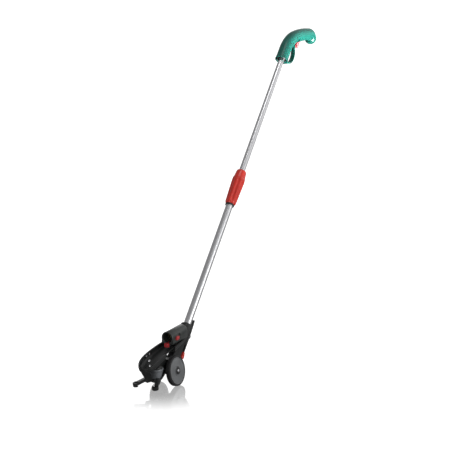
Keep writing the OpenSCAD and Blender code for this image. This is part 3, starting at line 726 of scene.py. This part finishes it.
def cradle_ribs():
    """Floor rails, screw bosses, the nose shelf, the bow in front of the turret and the bright studs."""
    bm = bmesh.new()
    for x in (-9.5, 4.5):
        outline = rounded([(-100, 69.0), (-100, 71.5), (-60, 81.0), (-4, 90.4), (-4, 88.4), (-60, 79.2)], 0.5)
        slab(bm, outline, lambda u, v, w: straight(w, u, v), x - 0.8, x + 0.8, 0.4)
    for p in ((-52, 92), (-66, 90)):
        boss = [(1.6, 0), (3.9, 0), (3.9, 2.2), (3.5, 2.7), (1.6, 2.7)]
        lathe(bm, [(r * MM, h * MM) for r, h in boss],
              straight(24.4, *p), (-1, 0, 0), 40, x_dir=Vector((0, 1, 0)))
        lathe(bm, [(1.6 * MM, 0), (3.4 * MM, 0), (3.4 * MM, 0.4 * MM), (1.6 * MM, 0.4 * MM)],
              straight(-22.3, *p), (1, 0, 0), 40, x_dir=Vector((0, 1, 0)))
    shelf = []
    for k in range(17):
        a = math.radians(200 + 140 * k / 16)
        shelf.append((20.5 * math.cos(a), -99 + 17.5 * math.sin(a)))
    for k in range(17):
        a = math.radians(340 - 140 * k / 16)
        shelf.append((15.4 * math.cos(a), -98.5 + 11.5 * math.sin(a)))
    slab(bm, shelf, lambda u, v, w: straight(u, v, w), 70.5, 74.6, 0.7)
    ribs = piece("cradle_ribs", bm, "cradle", smooth_angle=40)
    stands_for(ribs, "cradle")
    bm = bmesh.new()
    rings = []
    for k in range(15):
        t = k / 14
        y, r, z = -95.0 + 18 * t, 22 - 7 * t, 71 - 36 * t
        spread = math.radians(40 + 2 * t)
        belly = 1.2 * math.sin(math.pi * t)
        ring = [straight((r + belly) * math.sin(a), y - (r + belly) * math.cos(a), z)
                for a in [spread * (1 - 2 * i / 24) for i in range(25)]]
        ring += [straight((r - 2.4) * math.sin(a), y - (r - 2.4) * math.cos(a), z)
                 for a in [spread * (2 * i / 24 - 1) for i in range(25)]]
        rings.append(ring)
    bridge(bm, rings)
    stands_for(piece("cradle_bow", bm, "cradle", smooth_angle=50), "cradle")
    bm = bmesh.new()
    for x, y, z in ((13.5, -66, 80.5), (-13.5, -66, 80.5), (0, -86, 74.5)):
        stud = [(0, -3), (3.6, -3), (3.4, 1.2), (3.0, 1.7), (1.9, 1.8), (1.7, 0.9), (0, 0.7)]
        lathe(bm, [(r * MM, h * MM) for r, h in stud], straight(x, y, z), (0, 0, 1), 40)
    stands_for(piece("cradle_studs", bm, "cradle", STEEL, smooth_angle=40), "cradle")


# ---------- dock, turret and fork ----------

def turret_cup():
    """Conical cup under the tray's front, in a lighter grey as painted light for its lit face, and the low dome on
    it in black.
    """
    centre = straight(0, -57, 0)
    outline = [(2.1, 33.1), (10.4, 33.1), (11.2, 33.4), (12.2, 34.6), (13.4, 38), (15.0, 43.5), (17.0, 50.5),
               (18.3, 55.4), (18.9, 56.1), (19.1, 57.4), (19.0, 58.9), (18.5, 59.8), (17.8, 59.9),
               (2.1, 59.9),
               (2.1, 57), (16.0, 57), (15.4, 55), (13.4, 47), (11.4, 41), (10.0, 38), (2.1, 38)]
    bm = bmesh.new()
    lathe(bm, [(r * MM, h * MM) for r, h in outline], centre, (0, 0, 1), 120, x_dir=SIDE)
    stands_for(piece("turret_cup", bm, "turret", CUP_PAINTED_LIGHT, 40), "turret")
    bm = bmesh.new()
    profile = [(0, 59.95), (16.0, 59.95), (16.2, 60.6), (16.2, 62.4), (15.6, 63.4), (13.8, 65.1),
               (11.2, 66.9),
               (7.6, 68.6), (3.6, 69.7), (0, 70.0)]
    lathe(bm, [(r * MM, h * MM) for r, h in profile], centre, (0, 0, 1), 96, x_dir=SIDE)
    piece("turret_dome", bm, "turret", BLACK, 40)


def dock_trim():
    """Lip around the drum's mouth, with a channel for the latch's tooth."""
    bm = bmesh.new()
    lip = [(13.05, -0.2), (13.3, -0.9), (14.6, -1.5), (15.8, -1.3), (16.4, -0.5), (16.5, 1.2), (16.1, 1.6),
           (13.05, 1.6)]
    lathe(bm, [(r * MM, h * MM) for r, h in lip], straight(0, 2, 122), (0, 1, 0), 96, x_dir=SIDE)
    rim = piece("dock_lip", bm, "dock_sleeve", DRUM, 40)
    channel = bmesh.new()
    slab(channel, [(-5.9, 100), (5.9, 100), (5.9, 109.2), (-5.9, 109.2)],
         lambda u, v, w: straight(u, w, v), -5, 12, 0.01)
    boolean(rim, as_tool(channel), "DIFFERENCE")
    stands_for(rim, "dock_sleeve")


handle_halves()
# black sheets inside the trigger notch: painted shade
notch_shade_sheet(1, "left")
notch_shade_sheet(-1, "right")
neck_plate()
trigger_blade()
tube("upper_tube_drawn", "upper_tube", UPPER_R, 0.0012)
tube("lower_tube_drawn", "lower_tube", LOWER_R, 0.0012)
collar()
head_dome()
for sign, word in ((1, "left"), (-1, "right")):
    wheel_parts(sign, word)
cradle_tray()
cradle_ribs()
turret_cup()
softened("dock_sleeve", 0.0009)
dock_trim()
softened("dock_latch", 0.0007)
softened("back_lever", 0.0010)
softened("lever_pad", 0.0016, segments=3)
softened("blade_fork", 0.0009)
softened("frame_left", 0.0006)
softened("frame_right", 0.0006)
softened("clamp_chuck", 0.0003)
softened("base_socket", 0.0003)
for name in ("frame_screws", "cradle_screws", "fork_screw", "handle_screws"):
    softened(name, 0.00035)

for name, obj in frame["nodes"].items():
    obj.data.materials.clear()
    obj.data.materials.append(look(name))

# ---------- studio ----------

def stage_material():
    """Pale floor: the camera sees it white, with a mirror that fades out around the wheels."""
    mirror_share = 0.64
    m = bpy.data.materials.new("pale_floor")
    m.use_nodes = True
    nodes, links = m.node_tree.nodes, m.node_tree.links
    shader = nodes["Principled BSDF"]
    where = nodes.new("ShaderNodeTexCoord")
    cloud = nodes.new("ShaderNodeTexNoise")
    cloud.inputs["Scale"].default_value = 3
    links.new(where.outputs["Object"], cloud.inputs["Vector"])
    ramp = nodes.new("ShaderNodeValToRGB")
    ramp.color_ramp.elements[0].color = (0.30, 0.30, 0.30, 1)
    ramp.color_ramp.elements[1].color = (0.33, 0.33, 0.33, 1)
    links.new(cloud.outputs["Fac"], ramp.inputs["Fac"])
    links.new(ramp.outputs["Color"], shader.inputs["Base Color"])
    shader.inputs["Roughness"].default_value = 0.5
    mirror = nodes.new("ShaderNodeBsdfGlossy")
    mirror.inputs["Roughness"].default_value = 0.045
    mirror.inputs["Color"].default_value = (1, 1, 1, 1)
    gloss = nodes.new("ShaderNodeMixShader")
    near = nodes.new("ShaderNodeVectorMath")
    near.operation = "DISTANCE"
    near.inputs[1].default_value = (0.0, -0.02, 0.0)
    links.new(where.outputs["Object"], near.inputs[0])
    fade = nodes.new("ShaderNodeMapRange")
    fade.interpolation_type = "SMOOTHSTEP"
    fade.inputs["From Min"].default_value = 0.05
    fade.inputs["From Max"].default_value = 0.23
    fade.inputs["To Min"].default_value = mirror_share
    fade.inputs["To Max"].default_value = 0.0
    links.new(near.outputs["Value"], fade.inputs["Value"])
    links.new(fade.outputs["Result"], gloss.inputs["Fac"])
    links.new(shader.outputs["BSDF"], gloss.inputs[1])
    links.new(mirror.outputs["BSDF"], gloss.inputs[2])
    glow = nodes.new("ShaderNodeEmission")
    brighter = nodes.new("ShaderNodeMapRange")
    brighter.inputs["From Max"].default_value = mirror_share
    brighter.inputs["To Min"].default_value = 1.05
    brighter.inputs["To Max"].default_value = 0.36
    links.new(fade.outputs["Result"], brighter.inputs["Value"])
    links.new(brighter.outputs["Result"], glow.inputs["Strength"])
    lit = nodes.new("ShaderNodeAddShader")
    links.new(gloss.outputs["Shader"], lit.inputs[0])
    links.new(glow.outputs["Emission"], lit.inputs[1])
    ray = nodes.new("ShaderNodeLightPath")
    choice = nodes.new("ShaderNodeMixShader")
    links.new(ray.outputs["Is Camera Ray"], choice.inputs["Fac"])
    links.new(shader.outputs["BSDF"], choice.inputs[1])
    links.new(lit.outputs["Shader"], choice.inputs[2])
    links.new(choice.outputs["Shader"], nodes["Material Output"].inputs["Surface"])
    return m


def floor():
    bm = bmesh.new()
    size, below = 9.0, -0.0004
    corners = [(-size, -size), (size, -size), (size, size), (-size, size)]
    bm.faces.new([bm.verts.new((x, y, below)) for x, y in corners])
    mesh = bpy.data.meshes.new("studio_floor")
    bm.to_mesh(mesh)
    bm.free()
    mesh.materials.append(stage_material())
    obj = bpy.data.objects.new("studio_floor", mesh)
    bpy.context.scene.collection.objects.link(obj)


def softbox(name, place, target, size, watts, spread=180, shine=1.0):
    light = bpy.data.lights.new(name, "AREA")
    light.shape = "RECTANGLE"
    light.size, light.size_y = size
    light.energy = watts
    light.spread = math.radians(spread)
    light.specular_factor = shine
    obj = bpy.data.objects.new(name, light)
    obj.location = place
    obj.rotation_euler = (Vector(target) - Vector(place)).to_track_quat("-Z", "Y").to_euler()
    bpy.context.scene.collection.objects.link(obj)


def backdrop():
    """White to the camera; for reflections and light, bright behind and to the right, dim elsewhere."""
    dim, wall_level, back_level, seen_level = 0.26, 0.70, 1.25, 1.3
    world = bpy.data.worlds.new("studio_world")
    bpy.context.scene.world = world
    world.use_nodes = True
    nodes, links = world.node_tree.nodes, world.node_tree.links
    back = nodes["Background"]
    back.inputs["Color"].default_value = (1, 1, 1, 1)
    where = nodes.new("ShaderNodeTexCoord")
    behind = nodes.new("ShaderNodeVectorMath")
    behind.operation = "DOT_PRODUCT"
    behind.inputs[1].default_value = (-0.47, 0.88, 0.0)
    links.new(where.outputs["Generated"], behind.inputs[0])
    fall = nodes.new("ShaderNodeMapRange")
    fall.inputs["From Min"].default_value = 0.84
    fall.inputs["From Max"].default_value = 0.96
    fall.inputs["To Min"].default_value = dim
    fall.inputs["To Max"].default_value = back_level
    links.new(behind.outputs["Value"], fall.inputs["Value"])
    right = nodes.new("ShaderNodeVectorMath")
    right.operation = "DOT_PRODUCT"
    right.inputs[1].default_value = (0.85, 0.45, -0.27)
    links.new(where.outputs["Generated"], right.inputs[0])
    wall = nodes.new("ShaderNodeMapRange")
    wall.inputs["From Min"].default_value = -0.15
    wall.inputs["From Max"].default_value = 0.55
    wall.inputs["To Min"].default_value = dim
    wall.inputs["To Max"].default_value = wall_level
    links.new(right.outputs["Value"], wall.inputs["Value"])
    around = nodes.new("ShaderNodeMath")
    around.operation = "MAXIMUM"
    links.new(fall.outputs["Result"], around.inputs[0])
    links.new(wall.outputs["Result"], around.inputs[1])
    ray = nodes.new("ShaderNodeLightPath")
    level = nodes.new("ShaderNodeMix")
    level.inputs["B"].default_value = seen_level
    links.new(ray.outputs["Is Camera Ray"], level.inputs["Factor"])
    links.new(around.outputs["Value"], level.inputs["A"])
    links.new(level.outputs["Result"], back.inputs["Strength"])


def studio():
    """The grip light is small and low on the right, for the bright band along the handle."""
    floor()
    backdrop()
    centre = (0, 0.4, 0.45)
    softbox("key", (2.3, 0.1, 0.35), centre, (1.2, 2.0), 30)
    softbox("grip_light", (0.82, 0.78, 0.25), (0, 0.86, 0.90), (0.4, 0.9), 9, spread=60, shine=0.25)
    softbox("front", (0.3, -2.8, 0.7), centre, (0.4, 1.8), 17)
    softbox("top", (0.3, 0.3, 3.0), centre, (0.9, 0.9), 8)


def camera():
    """Three-quarter front view, from the left of the object and a little above."""
    azimuth, elevation, distance = math.radians(30), math.radians(20), 2.87
    lens = bpy.data.cameras.new("camera")
    lens.sensor_width = 36
    lens.lens = 87.9
    obj = bpy.data.objects.new("camera", lens)
    obj.location = (distance * math.cos(elevation) * math.sin(azimuth),
                    -distance * math.cos(elevation) * math.cos(azimuth),
                    distance * math.sin(elevation))
    obj.rotation_euler = (math.radians(78.1), 0, math.radians(26.8))
    bpy.context.scene.collection.objects.link(obj)
    bpy.context.scene.camera = obj


studio()
camera()
bpy.context.scene.view_settings.view_transform = "Standard"
